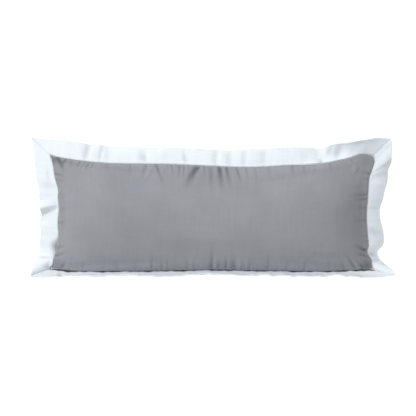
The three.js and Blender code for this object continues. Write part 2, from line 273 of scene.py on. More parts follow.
# %% Sew the panels together
bpy.ops.object.select_all(action="DESELECT")
face.select_set(True)
back.select_set(True)
bpy.context.view_layer.objects.active = face
bpy.ops.object.join()
cushion = bpy.context.object
bpy.ops.object.mode_set(mode="EDIT")
bpy.ops.mesh.select_mode(type="EDGE")
bpy.ops.mesh.select_all(action="DESELECT")
bpy.ops.mesh.select_non_manifold()
bpy.ops.mesh.bridge_edge_loops()
bpy.ops.object.mode_set(mode="OBJECT")
print("cushion:", len(cushion.data.polygons), "faces")

# %% [markdown]
# ## Filling it
# A seam is shorter than the cloth that was cut for it, because the thread draws it up. Next
# to it the panel has cloth to spare, which buckles into short puckers, while the middle is
# drawn smooth by the filling. Cloth simulation makes this from the same cause: the seam is
# pinned, a pressure fills the form, and a vertex group gives the cloth extra length that is
# largest at the seam and gone a hand's breadth away from it.

# %% A cloth simulation for the filling
SLACK = 0.03  # extra cloth at the seam, as a share of its length
TAUT = -0.004  # the middle is drawn a little tighter
PRESSURE = 2.2  # of the filling, in the simulation's own unit
FRAMES = 24
LEAST_WEIGHT = 0.001  # a point with less than this stays out of its vertex group


def vertex_group(piece, name, weights):
    group = piece.vertex_groups.new(name=name)
    for index, weight in enumerate(weights):
        if weight > LEAST_WEIGHT:
            group.add([index], float(weight), "ADD")


def fill_with_pressure(piece, pinned, slack):
    vertex_group(piece, "seam", pinned)
    vertex_group(piece, "slack", slack)
    cloth = piece.modifiers.new("filling", "CLOTH")
    cloth.collision_settings.use_collision = False
    cloth.point_cache.frame_end = FRAMES
    settings = cloth.settings
    settings.quality = 6
    settings.mass = 0.15
    settings.tension_stiffness = settings.compression_stiffness = 40
    settings.shear_stiffness = 10
    settings.bending_stiffness = 0.5
    settings.air_damping = 2
    settings.vertex_group_mass = "seam"
    settings.pin_stiffness = 50
    settings.vertex_group_shrink = "slack"
    settings.shrink_min = -TAUT
    settings.shrink_max = -SLACK
    settings.use_pressure = True
    settings.uniform_pressure_force = PRESSURE
    settings.effector_weights.gravity = 0
    scene = bpy.context.scene
    for number in range(1, FRAMES + 1):
        scene.frame_set(number)
    bpy.ops.object.modifier_apply(modifier=cloth.name)
    scene.frame_set(1)


# %% [markdown]
# Most of the steps from here on read and move many points at once. As one array, with a row
# for each point, numpy does that quickly. They also ask how far each point is from the seam.

# %% Read and move the points of a piece
def coordinates(piece):
    flat = np.empty(len(piece.data.vertices) * 3)
    piece.data.vertices.foreach_get("co", flat)
    return flat.reshape(-1, 3)


def move_to(piece, points):
    piece.data.vertices.foreach_set("co", points.ravel())
    piece.data.update()


def nearest_on_seam(points, dimensions=3):
    """For each point the nearest place on the seam, and how far away it is."""
    near = np.full(len(points), np.inf)
    feet = np.zeros((len(points), 3))
    line = np.vstack([seam, seam[:1]])
    for a, b in zip(line, line[1:]):
        step = b - a
        flat = step[:dimensions]
        share = np.clip((points[:, :dimensions] - a[:dimensions]) @ flat / (flat @ flat), 0, 1)
        foot = a + share[:, None] * step
        away = np.linalg.norm((points - foot)[:, :dimensions], axis=1)
        closer = away < near
        near[closer] = away[closer]
        feet[closer] = foot[closer]
    return feet, near


print("a point of the cushion:", coordinates(cushion)[0].round(3))

# %% [markdown]
# On its own the cloth would bulge out past the seam, as a balloon does. On the real pillow the
# flange keeps it in. Strips that collide with the cloth would do that too, but slowly and with
# snags, so the movement is limited afterwards: the nearer a point is to the seam, the less of
# its way outwards it keeps. The swell over the lower seam keeps the form that it had.

# %% Keep the filled cloth inside the seam
OUTWARD_LIMIT = 1.0 * MM  # how far a point at the seam may have moved outwards
ROOM_INWARDS = 0.15  # and how much further, for each millimetre that it lies further in
SWELL_HELD = 46 * MM  # the cloth is free to move again this far in from the swell's edge
POINTS_DOWN = 0.7  # the share of an outward direction from which on it is the lower seam's
TINY = 0.01 * MM  # shorter lengths than this count as none


def held_in(piece, before, feet):
    """Limit how far the cloth has moved outwards, and keep the swell over the lower seam."""
    moved = coordinates(piece) - before
    outwards = feet - before
    outwards[:, 2] = 0
    inside = np.sign((outwards * (feet - np.array(seam_centre))).sum(axis=1))
    distance = np.linalg.norm(outwards, axis=1)
    outwards *= (inside / np.maximum(distance, TINY))[:, None]
    distance *= inside
    went = (moved * outwards).sum(axis=1)
    room = OUTWARD_LIMIT + ROOM_INWARDS * np.maximum(distance, 0)
    held = np.where(went > 0, room * np.tanh(went / room), went)
    moved += (held - went)[:, None] * outwards
    freed = smooth((distance + SWELL) / SWELL_HELD)
    moved *= np.where(-outwards[:, 1] > POINTS_DOWN, freed, 1)[:, None]
    move_to(piece, before + moved)


# %% [markdown]
# Now the cushion can be filled. All the points at the seam are pinned, so it stays where the
# frame has it.

# %% Fill the cushion
AT_SEAM = 0.55 * RIM  # the panels' edges lie half the rim's height from the seam's middle
SLACK_START = 8 * MM  # up to here from the seam the cloth has all of its slack
SLACK_REACH = 62 * MM

before = coordinates(cushion)
seam_feet, inwards = nearest_on_seam(before, 2)
pinned = nearest_on_seam(before)[1] < AT_SEAM
spare = np.exp(-((np.maximum(inwards - SLACK_START, 0) / SLACK_REACH) ** 2))
fill_with_pressure(cushion, pinned, spare)
held_in(cushion, before, seam_feet)
moved = np.linalg.norm(coordinates(cushion) - before, axis=1)
print("cloth moved up to", round(moved.max() / MM, 1), "mm")

# %% [markdown]
# The pillow lies on its back, so the back is flat where it rests. The simulation knows no
# floor. Instead, whatever reached below it is lifted onto it, with a soft transition.

# %% Lay the back flat on the surface
SOFTNESS = 5 * MM  # cloth that is lower than this is lifted, to meet the surface softly


def rest_on_surface(piece):
    points = coordinates(piece)
    z = points[:, 2]
    rounded = (z + SOFTNESS) ** 2 / (4 * SOFTNESS)
    points[:, 2] = np.where(z <= -SOFTNESS, 0, np.where(z >= SOFTNESS, z, rounded))
    move_to(piece, points)


rest_on_surface(cushion)
print("lowest point:", round(coordinates(cushion)[:, 2].min() / MM, 3), "mm")

# %% [markdown]
# A subdivision surface makes the facets smooth. It would also shrink the form away from the
# seam, and open gaps to the strips, so the points on the seam are marked as sharp.

# %% Smooth the cushion
def subdivided(piece, levels):
    modifier = piece.modifiers.new("smooth", "SUBSURF")
    modifier.levels = modifier.render_levels = levels
    bpy.ops.object.modifier_apply(modifier=modifier.name)


def keep_seam(piece, on_seam):
    """Mark the points on the seam, so that smoothing leaves them where they are sewn."""
    layer = piece.data.attributes.new("crease_vert", "FLOAT", "POINT")
    layer.data.foreach_set("value", on_seam.astype(float))


keep_seam(cushion, pinned)
subdivided(cushion, 1)
bpy.ops.object.shade_smooth()
print("cushion:", len(cushion.data.polygons), "faces after smoothing")

# %% [markdown]
# ## Puckers
# The photograph shows some puckers that no simulation would put in just that place. Each one
# is a row of a table: its place along a side, how deep, how long and how wide it is, and how
# far it leans on its way inwards. It is a soft trough with a low ridge on either side of it.
# Between them the whole seam has fine ripples, where each stitch draws the cloth up.

# %% Draw in the puckers one by one
PUCKERS = {
    # side: rows of (place from the middle, depth, reach, half width, lean), all in mm
    "upper": [
        (-392, 4.4, 40, 7, 22), (-368, 3.0, 26, 5, -16), (-350, 1.6, 20, 4, -10),
        (-332, 3.0, 26, 4, -14), (-320, 2.4, 24, 4, -14), (-308, 2.6, 24, 4, -14),
        (-297, 2.0, 20, 4, -12), (-262, 1.0, 28, 6, -6), (-205, 1.2, 34, 6, -4),
        (-165, 2.0, 40, 7, -10), (-145, -2.2, 60, 5, -34), (-140, 2.8, 62, 6, 22),
        (-114, -1.4, 40, 5, -20), (-112, 2.2, 16, 3, 0), (-101, 1.6, 42, 5, 8),
        (-81, 2.0, 46, 4, -2), (-70, 2.2, 50, 4, 0), (-62, -1.6, 26, 4, 0),
        (-36, 5.4, 66, 12, -34), (-31, 2.6, 22, 4, -6), (-23, -2.2, 36, 4, 2),
        (3, 1.6, 40, 5, 0), (-4, 2.0, 88, 7, 8), (20, 4.6, 68, 9, 9), (30, -1.4, 60, 5, 4),
        (37, 3.4, 58, 5, 14), (52, -1.4, 56, 6, 8), (63, 3.4, 46, 5, 14), (88, 1.6, 36, 5, 4),
        (112, 1.4, 60, 6, 4), (146, 1.2, 44, 6, 4), (204, 2.0, 40, 6, 6), (233, 1.2, 34, 5, 4),
        (262, 1.0, 26, 6, 2), (300, 1.3, 34, 6, 8), (352, 1.6, 30, 6, 12),
    ],
    "lower": [
        (-384, 2.6, 30, 6, 14), (-330, 1.0, 30, 6, 6), (-240, 1.2, 40, 6, -4),
        (-196, 1.0, 34, 5, 2), (-152, 1.8, 56, 5, 2), (-127, 1.6, 46, 5, 0),
        (-112, 1.2, 40, 4, 0), (-62, 1.4, 40, 6, -2), (-45, 1.6, 36, 5, 0),
        (-1, 2.6, 66, 6, 3), (10, -1.8, 40, 5, 0), (19, 1.6, 36, 5, 0), (36, 2.4, 42, 5, 0),
        (45, -1.6, 38, 5, 0), (57, 2.6, 46, 8, 0), (73, -1.8, 42, 5, 0), (96, 1.4, 40, 6, 2),
        (142, 1.6, 50, 6, 4), (190, 1.0, 40, 5, 4), (236, 1.4, 44, 6, 6), (300, 1.4, 40, 6, -6),
        (340, 1.2, 34, 5, -16), (368, 3.2, 50, 6, -34), (388, 2.8, 34, 5, -26),
    ],
    "left": [
        (98, 2.6, 30, 5, -8), (84, 2.0, 26, 4, -8), (44, 1.2, 30, 6, 0),
        (8, 1.0, 34, 7, 2), (-28, 1.4, 34, 6, 4), (-92, 2.2, 30, 6, 8), (-114, 2.6, 34, 5, 12),
    ],
    "right": [
        (98, 2.6, 34, 6, 8), (84, 1.8, 26, 5, 4), (44, 2.2, 52, 5, 0), (34, 1.8, 42, 5, -2),
        (12, 1.2, 30, 6, 0), (-20, 1.3, 40, 6, 0), (-62, 1.0, 30, 6, 2),
        (-100, 4.2, 44, 7, 20), (-116, 2.4, 34, 5, 14),
    ],
}
PUCKER_START = 4 * MM  # from the seam to where a pucker has all of its depth
PUCKER_WIDTH = 0.7  # at the seam, as a share of the width in the table
PUCKER_WIDENS = 0.7  # by as much again over its whole length
PUCKER_FADES = 1.2  # the power by which it gets shallower on its way in
TROUGH = 1.1  # depth in the middle, as a share of the depth in the table
RIDGE = 0.8  # how much of it is taken away beside the middle, which leaves low ridges


def along_and_inwards(points, side):
    """Each point's place along a side, from the pillow's middle, and its way in from it."""
    axis, line = AXIS_OF[side], side_line(side)
    edge = np.interp(points[:, axis], line[:, axis], line[:, 1 - axis])
    return points[:, axis] - seam_centre[axis], np.abs(edge - points[:, 1 - axis])


def pucker_depths(points):
    depths = np.zeros(len(points))
    for side, rows in PUCKERS.items():
        along, distance = along_and_inwards(points, side)
        for place, depth, reach, width, lean in np.array(rows) * MM:
            run = distance / reach
            sideways = (along - place - lean * run) / (width * (PUCKER_WIDTH + PUCKER_WIDENS * run))
            trough = (TROUGH - RIDGE * sideways**2) * np.exp(-(sideways**2))
            start = smooth(distance / PUCKER_START)
            depths += depth * trough * start * np.clip(1 - run, 0, 1) ** PUCKER_FADES
    return depths


# %% [markdown]
# A seam that is drawn up has no smooth stretch at all. The ripples are three sine waves whose
# lengths never fall into step, so no stitch looks like the next. They are strong at the seam
# and gone two fingers' breadth further in.

# %% Ripple the seam and move the cloth
RIPPLE = 0.7 * MM  # height of the fine ripples at the seam
RIPPLE_START = 3 * MM
RIPPLE_REACH = 16 * MM
RIPPLE_WAVES = ((0.5, 17 * MM), (0.3, 11.3 * MM), (0.3, 7.9 * MM))  # share and length of each
RIPPLE_CHANGE = 0.4  # the share by which they get stronger and weaker round the seam
RIPPLE_PACE = (31, 47)  # how quickly they do, along X and along Y, in radians per metre


def ripples(feet, distance):
    """Fine ripples along the seam, out of step with each other all the way round it."""
    round_it = feet[:, 0] + feet[:, 1]
    wave = sum(share * np.sin(2 * math.pi * round_it / length) for share, length in RIPPLE_WAVES)
    change = np.sin(feet[:, 0] * RIPPLE_PACE[0] + feet[:, 1] * RIPPLE_PACE[1])
    wave *= 1 - RIPPLE_CHANGE + RIPPLE_CHANGE * change
    start = smooth(distance / RIPPLE_START)
    return RIPPLE * wave * start * np.exp(-distance / RIPPLE_REACH)


def normals_of(piece):
    flat = np.empty(len(piece.data.vertices) * 3)
    piece.data.vertex_normals.foreach_get("vector", flat)
    return flat.reshape(-1, 3)


points, normals = coordinates(cushion), normals_of(cushion)
feet, distance = nearest_on_seam(points)
on_face = points[:, 2] > feet[:, 2]
depths = np.where(on_face, pucker_depths(points), 0) + ripples(feet, distance)
move_to(cushion, points - normals * depths[:, None])
print("deepest pucker:", round(depths.max() / MM, 1), "mm")

# %% [markdown]
# Little light gets into a crease, so the material paints shade there, on top of the shade
# that the lights cast. Each vertex keeps a number for how much painted shade it gets, the
# attribute "crease", and the material darkens the cloth by it. On the cushion it is painted
# shade in the puckers, on the underside of the swell over the lower seam, in the pockets where
# the cloth is drawn together, and broadly over the right end of the face. A second attribute,
# "gathered", says how strongly the finest gathers show at each place. They are too fine for the
# mesh, and the material makes them.

# %% Where the cushion gets painted shade and gathers
GATHERED = [
    # where the seam gathers the face most: across, up, half width, half height (mm), amount
    (-30, 132, 100, 45, 0.95), (-150, 132, 46, 40, 0.45), (120, 132, 70, 40, 0.35),
    (-345, 128, 60, 22, 0.5), (40, -132, 75, 34, 0.5), (-130, -132, 60, 30, 0.25),
    (396, -110, 30, 40, 0.5), (396, 60, 30, 60, 0.25), (-400, -110, 22, 30, 0.4),
]
GATHERED_ALL_OVER = 0.12  # along the whole seam
SHADE_SPOTS = [
    # painted shade on the face: where the cloth is drawn together and little light gets in, and
    # broadly over its right end: across and up from the middle, half width, half height (mm),
    # strength
    (-402, 133, 10, 9, 0.42), (-378, 128, 16, 7, 0.16), (-392, -134, 13, 12, 0.20),
    (396, -136, 16, 15, 0.46), (384, -108, 12, 8, 0.16), (392, 128, 16, 14, 0.16),
    (376, 0, 58, 110, 0.25), (-20, 96, 60, 26, 0.06), (-60, -80, 60, 24, 0.06),
    (-200, -40, 110, 80, 0.08), (70, -76, 45, 26, 0.04), (310, -50, 80, 80, 0.08),
    (-210, 90, 70, 60, 0.05), (180, -60, 80, 60, 0.04),
]


def mark(piece, name, shares):
    """Keep a number between 0 and 1 for each vertex, which a material can read by its name."""
    layer = piece.data.attributes.new(name, "FLOAT", "POINT")
    layer.data.foreach_set("value", np.clip(shares, 0, 1))


def spots(points, rows):
    """The sum of soft spots, each with its place from the middle, its size and strength."""
    shares = np.zeros(len(points))
    for x, y, width, height, strength in rows:
        across = (points[:, 0] - seam_centre.x - x * MM) / (width * MM)
        upwards = (points[:, 1] - seam_centre.y - y * MM) / (height * MM)
        shares += strength * np.exp(-(across**2) - upwards**2)
    return shares


mark(cushion, "gathered", spots(points, GATHERED) + GATHERED_ALL_OVER)
# painted shade of the pockets and the right end, on the face only
spot_shade = spots(points, SHADE_SPOTS) * on_face
print("in a pocket:", int((spot_shade > 0.1).sum()), "points")

# %% [markdown]
# The shade under the swell is painted, and it is the darkest line of the pillow. It isn't
# drawn with a ruler: the real shadow gets fainter and stronger where the cloth is pressed in
# less or more. A slow wave of three lengths gives that unevenness without a random number.

# %% Paint shade into the creases of the cushion
DEEP = 8.5 * MM  # a pucker of this depth would get the full painted shade
TURNED_DOWN = 0.80  # the cloth counts as turned down from this share of its normal on
LOWER_EDGE = 110 * MM  # below the middle, from where on such cloth is the swell's
LOWER_EDGE_FADE = 12 * MM
UNDERSIDE_SHADE = 0.20  # how much painted shade it gets under the swell where it is faintest
UNDERSIDE_SHADE_CHANGE = 0.4  # and how much more where it is strongest
UNEVEN_WAVES = ((0.5, 97 * MM), (0.35, 41 * MM), (0.3, 23 * MM))  # share and length of each


def uneven(along):
    """A slow wave between 0 and 1 that doesn't repeat along a side of the pillow."""
    waves = sum(
        share * np.sin(2 * math.pi * along / length + k)
        for k, (share, length) in enumerate(UNEVEN_WAVES)
    )
    return 0.5 + 0.5 * np.clip(waves, -1, 1)


above_rim = points[:, 2] > feet[:, 2] - 2 * RIM
turned_down = smooth((-normals_of(cushion)[:, 1] - TURNED_DOWN) / (1 - TURNED_DOWN))
at_lower_seam = smooth((seam_centre.y - points[:, 1] - LOWER_EDGE) / LOWER_EDGE_FADE)
underside_shade = turned_down * at_lower_seam * above_rim
underside_shade = underside_shade * (UNDERSIDE_SHADE + UNDERSIDE_SHADE_CHANGE * uneven(points[:, 0]))
# the attribute "crease": painted shade of the puckers, under the swell and in the pockets
mark(cushion, "crease", np.clip(depths, 0, DEEP) / DEEP + underside_shade + spot_shade)
print("marked:", int((underside_shade > 0.1).sum()), "points under the swell")

# %% [markdown]
# ## The flange
# Each strip is a double layer of cloth, folded at its outer edge. It could be a sheet that is
# made thick, but its solid already follows the photograph's outline and its main bends. So a
# copy of the solid is merged, its triangles become quads again, and a subdivision surface
# rounds the folded outer edge. The edges of the mitres and along the seam are creased, so
# that the strips still meet there.

# %% Make the strips of the flange
FLANGE_WIDTH = 50 * MM
EDGE_CREASE = 0.55  # of the folded outer edge, which is round but not limp
OUTER_PART = 0.7 * FLANGE_WIDTH  # sharp edges further out than this are the folded edge
SHARP = math.radians(50)
QUAD_ANGLE = math.radians(60)  # two triangles that are bent less than this become one quad


def copy_of_solid(node, name):
    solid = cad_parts[node]
    piece = bpy.data.objects.new(name, solid.data.copy())
    bpy.context.collection.objects.link(piece)
    bpy.ops.object.select_all(action="DESELECT")
    bpy.context.view_layer.objects.active = piece
    piece.select_set(True)
    bpy.ops.object.mode_set(mode="EDIT")
    bpy.ops.mesh.select_all(action="SELECT")
    bpy.ops.mesh.remove_doubles(threshold=TINY)
    bpy.ops.mesh.tris_convert_to_quads(face_threshold=QUAD_ANGLE, shape_threshold=QUAD_ANGLE)
    bpy.ops.object.mode_set(mode="OBJECT")
    piece.data.materials.clear()
    return piece


def crease_edges(piece):
    mesh = bmesh.new()
    mesh.from_mesh(piece.data)
    crease = mesh.edges.layers.float.new("crease_edge")
    sharp = [e for e in mesh.edges if e.calc_face_angle(0) > SHARP]
    middles = np.array([(e.verts[0].co + e.verts[1].co) / 2 for e in sharp])
    _feet, away = nearest_on_seam(middles)
    for edge, distance in zip(sharp, away):
        edge[crease] = EDGE_CREASE if distance > OUTER_PART else 1.0
    mesh.to_mesh(piece.data)
    mesh.free()


def strip(side):
    piece = copy_of_solid("flange_" + side, "border_" + side)
    crease_edges(piece)
    subdivided(piece, 2)
    bpy.ops.object.shade_smooth()
    return piece


borders = {side: strip(side) for side in SIDES}
print("strips:", {side: len(b.data.polygons) for side, b in borders.items()})

# %% [markdown]
# ## Folds of the flange
# The strips are limp, and the photograph shows where they buckle. A fold is a long soft
# trough or ridge, from the seam to the outer edge. A pleat is a sharper step in the cloth,
# flat between two creases. Both move the two layers of a strip together, at right angles to
# the sheet, and leave its inner edge where it is sewn on. Each is a row of a table, because
# a simulation would fold the strips in other places than the photograph does.

# %% Where the strips have folds and pleats
FOLDS = {
    # side: rows of (place, distance from the seam, height, half width, half length, lean)
    "upper": [
        (-318, 26, -2.4, 8, 40, 10), (-301, 30, 1.4, 8, 24, 6), (-283, 28, -2.2, 5, 36, 6),
        (-266, 20, -1.0, 5, 26, 4), (-232, 22, 1.0, 14, 20, 0), (-170, 14, -2.2, 7, 12, 4),
        (-152, 28, 1.2, 12, 18, 0), (-120, 20, -0.8, 8, 20, 4), (-68, 16, -2.2, 6, 18, -4),
        (8, 26, -2.0, 8, 40, 2), (24, 26, 1.4, 7, 30, 2), (44, 22, -2.0, 7, 40, 2),
        (82, 24, -1.6, 8, 40, 2), (104, 24, 1.0, 10, 30, 0), (132, 22, -1.8, 8, 40, 4),
        (190, 26, 1.2, 12, 22, 0), (236, 22, -0.8, 9, 20, 0), (258, 18, 1.4, 8, 14, 0),
        (277, 6, -3.0, 5, 9, 4), (300, 34, -2.0, 8, 14, 8), (322, 26, -2.2, 8, 16, 8),
        (349, 24, 2.0, 9, 14, 8), (370, 34, -0.8, 8, 16, 6), (386, 20, 1.2, 7, 14, 6),
    ],
    "right": [
        (92, 20, -1.6, 8, 18, 10), (70, 34, 1.4, 12, 22, 0), (9, 22, -1.2, 4, 24, 0),
        (-48, 16, -1.8, 8, 14, -14), (-74, 34, 1.6, 10, 20, 0), (-110, 14, -2.4, 5, 14, -6),
        (-126, 14, -1.6, 4, 12, 8), (-134, 34, -1.8, 4, 14, -10),
    ],
    "lower": [
        (-383, 38, -2.4, 6, 20, 4), (-360, 44, 1.2, 10, 20, 0), (-322, 30, 1.0, 16, 20, 0),
        (-276, 40, -1.6, 7, 20, 0), (-250, 34, 1.0, 12, 20, 0), (-181, 40, -1.8, 6, 20, 0),
        (-135, 38, -2.4, 11, 18, 0), (-112, 40, 1.2, 9, 20, 0), (-81, 40, -1.8, 6, 20, 0),
        (-54, 38, 1.2, 12, 20, 0), (-22, 40, -1.8, 6, 20, 0), (3, 40, -2.0, 6, 20, 0),
        (60, 36, 1.4, 16, 20, 0), (113, 40, -2.2, 7, 20, 0), (155, 38, -2.8, 7, 20, 0),
        (182, 30, 3.6, 13, 22, 0), (207, 40, -3.0, 7, 20, 0), (240, 34, 3.0, 13, 22, 0),
        (266, 34, 1.6, 8, 20, 0), (283, 40, -2.4, 7, 20, 0), (312, 34, 2.8, 14, 22, 0),
        (340, 40, -2.4, 7, 20, 0), (360, 34, 2.0, 8, 20, 0), (376, 40, -1.8, 6, 20, 0),
    ],
    "left": [
        (96, 16, -1.2, 18, 4, 0), (66, 26, -1.4, 10, 20, -4), (40, 24, -1.0, 9, 16, 2),
        (-34, 30, 1.4, 12, 24, 0), (-86, 3, -4.0, 13, 13, 0), (-117, 26, -2.8, 4, 26, 0),
        (-126, 26, 1.8, 5, 22, 0), (-132, 13, -1.8, 3, 11, 34), (-140, 16, -1.4, 3, 12, 12),
    ],
}
PLEATS = {
    # side: rows of (place at the seam, at the edge, half width at the seam, at the edge,
    # height, how far the cloth takes to lie flat again), all in mm
    "left": [(17, 0, 5, 9, -2.5, 24)],
    "right": [(100, 136, 3, 4, -1.2, 22)],
}
PLEAT_EDGE = 3 * MM  # how softly a pleat's face ends
NUDGE = 0.5 * MM  # outwards, so that a point on the seam has a direction too
OUTWARD = {"upper": (0, 1), "right": (1, 0), "lower": (0, -1), "left": (-1, 0)}


def sheet_up(points, feet, side):
    """The direction at right angles to a strip, out of its face, for both its layers."""
    outward = points - feet
    outward[:, :2] += np.array(OUTWARD[side]) * NUDGE
    forward = np.array([OUTWARD[side][1], -OUTWARD[side][0], 0.0])
    up = np.cross(np.broadcast_to(forward, outward.shape), outward)
    return up / np.linalg.norm(up, axis=1)[:, None]


def fold_heights(side, place, out):
    heights = np.zeros(len(place))
    for row in FOLDS[side]:
        at, centre, height, width, length, lean = np.array(row) * MM
        along = (place - at - lean * (out - centre) / FLANGE_WIDTH) / width
        heights += height * np.exp(-(along**2) - ((out - centre) / length) ** 2)
    for row in PLEATS.get(side, []):
        at_seam, at_edge, width_seam, width_edge, height, relax = np.array(row) * MM
        share = out / FLANGE_WIDTH
        along = place - at_seam - (at_edge - at_seam) * share
        width = width_seam + (width_edge - width_seam) * share
        beyond = np.maximum(np.abs(along) - width, 0)
        heights += height * np.clip(-along / width, -1, 1) * np.exp(-beyond / relax) * share**0.5
    return heights


def pleat_faces(side, place, out):
    """1 on the steep face of a pleat, and 0 beside it."""
    faces = np.zeros(len(place))
    for row in PLEATS.get(side, []):
        at_seam, at_edge, width_seam, width_edge, _height, _relax = np.array(row) * MM
        share = out / FLANGE_WIDTH
        along = np.abs(place - at_seam - (at_edge - at_seam) * share)
        width = width_seam + (width_edge - width_seam) * share
        faces = np.maximum(faces, smooth((width - along) / PLEAT_EDGE + 0.5))
    return faces


print("folds and pleats:", sum(len(rows) for table in (FOLDS, PLEATS) for rows in table.values()))

# %% [markdown]
# Next to the seam a strip doesn't start flat. The turned seam allowances inside it make a low
# lip, which is highest where it bends round the cushion's lower left corner. At each mitre the
# seam draws a groove into the cloth.

# %% Fold the strips
FOLD_START = (2 * MM, 9 * MM)  # from the seam: where a fold starts, and how softly
FREE_EDGE = 0.45  # the share of a fold's height that is left at the folded outer edge
FREE_PART = 0.4  # the outer share of the strip, in which the folds get lower
LIP = 1.0 * MM
LIP_PLACE = 2 * MM  # from the seam
LIP_WIDTH = 3.5 * MM
LIP_END = (290 * MM, 60 * MM)  # it ends at this place on the upper strip, and fades before it
LIP_AT_CORNER = (2.2, -130 * MM, 11 * MM)  # how much higher, at which place, half how wide
NO_LIP = (-86 * MM, 24 * MM)  # where the left strip is pressed down: its place, half how wide
AT_MITRE = (1 * MM, 7 * MM)  # from a mitre: where the folds start, and how softly
MITRE_GROOVE = 0.7 * MM
MITRE_WIDTH = 2.6 * MM


def hill(at, middle, width):
    """A soft hill of height 1 and the given half width."""
    return np.exp(-(((at - middle) / width) ** 2))


def distance_to_mitres(points, side):
    """How far each point is from the nearer of the side's two mitres."""
    near = np.full(len(points), np.inf)
    axis, line = AXIS_OF[side], side_line(side)
    for end, start in ((-1, line[0]), (1, line[-1])):
        tip = points[np.argmax(points[:, axis] * end)]
        direction = (tip - start) / np.linalg.norm(tip - start)
        away = points - start
        across = away - (away @ direction)[:, None] * direction
        near = np.minimum(near, np.linalg.norm(across, axis=1))
    return near


def lip_heights(side, place, out):
    lip = LIP * hill(out, LIP_PLACE, LIP_WIDTH)
    if side == "left":
        higher, corner, width = LIP_AT_CORNER
        lip *= 1 + higher * hill(place, corner, width)
        lip *= 1 - hill(place, *NO_LIP)
    end, fade = LIP_END
    return lip * smooth((end - place) / fade)


def fold_strip(side):
    """Fold a strip. Its points' places before that are given back, for the creases."""
    piece = borders[side]
    points = coordinates(piece)
    feet, out = nearest_on_seam(points)
    place = points[:, AXIS_OF[side]] - seam_centre[AXIS_OF[side]]
    mitre = distance_to_mitres(points, side)
    heights = fold_heights(side, place, out) * smooth((out - FOLD_START[0]) / FOLD_START[1])
    outer = smooth((out - (1 - FREE_PART) * FLANGE_WIDTH) / (FREE_PART * FLANGE_WIDTH))
    heights *= 1 - (1 - FREE_EDGE) * outer
    if side in ("upper", "left"):
        heights += lip_heights(side, place, out)
    heights *= smooth((mitre - AT_MITRE[0]) / AT_MITRE[1])
    heights -= MITRE_GROOVE * hill(mitre, 0, MITRE_WIDTH)
    up = sheet_up(points, feet, side)
    move_to(piece, points + up * heights[:, None])
    print(side, "strip: highest fold", round(np.abs(heights).max() / MM, 1), "mm")
    return place, out, mitre, up


places = {side: fold_strip(side) for side in borders}

# %% [markdown]
# The strips get painted shade too: in the troughs of the folds, on the faces of the pleats,
# along the mitre seams, in hollows and corner pockets, as a shadow where a strip comes out from
# under the cushion, and above all along the line where the lower strip comes out from under the
# swell, the darkest line of the whole pillow. Only the layer that faces out of the pillow is
# marked, because the other one is turned to the light where a strip stands up.

# %% How much painted shade each point of a strip gets
GATHERED_STRIP = 0.35
FOLD_SHADE = 0.075 / MM  # painted shade in a fold's trough, for each millimetre of its depth
PLEAT_SHADE = 0.12
MITRE_SHADE = 0.14
MITRE_LINE = 1.6 * MM  # half the width of its dark line
SEWN_SHADE = 0.6  # painted shadow of the line where a strip comes out from under the cushion
SEWN_LINE = 1.8 * MM
SEWN_FROM = (290 * MM, 40 * MM)  # the upper strip's place where it starts, and how softly
TUCK_SHADE = 1.5
TUCK_WIDTH = 10.5 * MM  # how far out on the lower strip the painted dark line reaches
TUCK_NARROW = 0.45  # the share of that width where it is narrowest
TUCK_CHANGE = 0.6  # and how much wider it gets
TUCK_EDGE = 4  # how clear its outer edge is: a power of the distance
CORNER_SHADE = 0.8  # painted shade of the pocket between two strips and the cushion's corner
CORNER_REACH = (9 * MM, 2.5 * MM)  # from the mitre, and from the seam
FACING = 2  # how quickly the marks end where the cloth turns away from the face
HOLLOW_SHADES = {
    # painted shade in hollows, side: rows of (place, distance from the seam, half width, half
    # length, strength)
    "left": [
        (-70, 1, 9, 6, 0.26), (-88, 4, 15, 8, 0.36), (-108, 1, 9, 6, 0.26),
        (-134, 20, 4, 7, 0.10), (-128, 12, 3, 5, 0.10), (-142, 14, 4, 5, 0.08),
    ],
    "right": [
        (-116, 12, 8, 8, 0.10), (-106, 4, 5, 6, 0.08), (-132, 34, 3, 12, 0.10),
        (-56, 22, 22, 30, 0.09), (42, 22, 30, 30, 0.03),
    ],
    "lower": [(-388, 30, 4, 14, 0.16), (-376, 40, 3, 9, 0.12), (-366, 44, 4, 7, 0.12)],
    "upper": [
        (277, 6, 7, 8, 0.07), (316, 24, 12, 14, 0.15), (300, 34, 8, 9, 0.06),
        (-181, 22, 9, 16, 0.15), (-302, 30, 6, 20, 0.05), (-107, 20, 14, 18, 0.04),
        (250, 22, 14, 16, 0.05),
    ],
}


# Painted shade of a strip: fold troughs, pleat faces, mitre seams, corner pockets, hollows, seam and
# tuck lines
def strip_painted_shade(side, place, out, mitre):
    shares = np.clip(-fold_heights(side, place, out), 0, None) * FOLD_SHADE
    shares += PLEAT_SHADE * pleat_faces(side, place, out)
    shares += MITRE_SHADE * hill(mitre, 0, MITRE_LINE)
    shares += CORNER_SHADE * hill(mitre, 0, CORNER_REACH[0]) * hill(out, 0, CORNER_REACH[1])
    for row in HOLLOW_SHADES[side]:
        at, centre, width, length = np.array(row[:4]) * MM
        spot = ((place - at) / width) ** 2 + ((out - centre) / length) ** 2
        shares += row[4] * np.exp(-spot)
    if side in ("right", "upper"):
        sewn_shadow = SEWN_SHADE * hill(out, 0, SEWN_LINE)
        if side == "upper":
            sewn_shadow *= smooth((place - SEWN_FROM[0]) / SEWN_FROM[1])
        shares += sewn_shadow
    if side == "lower":
        width = TUCK_WIDTH * (TUCK_NARROW + TUCK_CHANGE * uneven(place))
        shares += TUCK_SHADE * np.exp(-((out / width) ** TUCK_EDGE))
    return shares


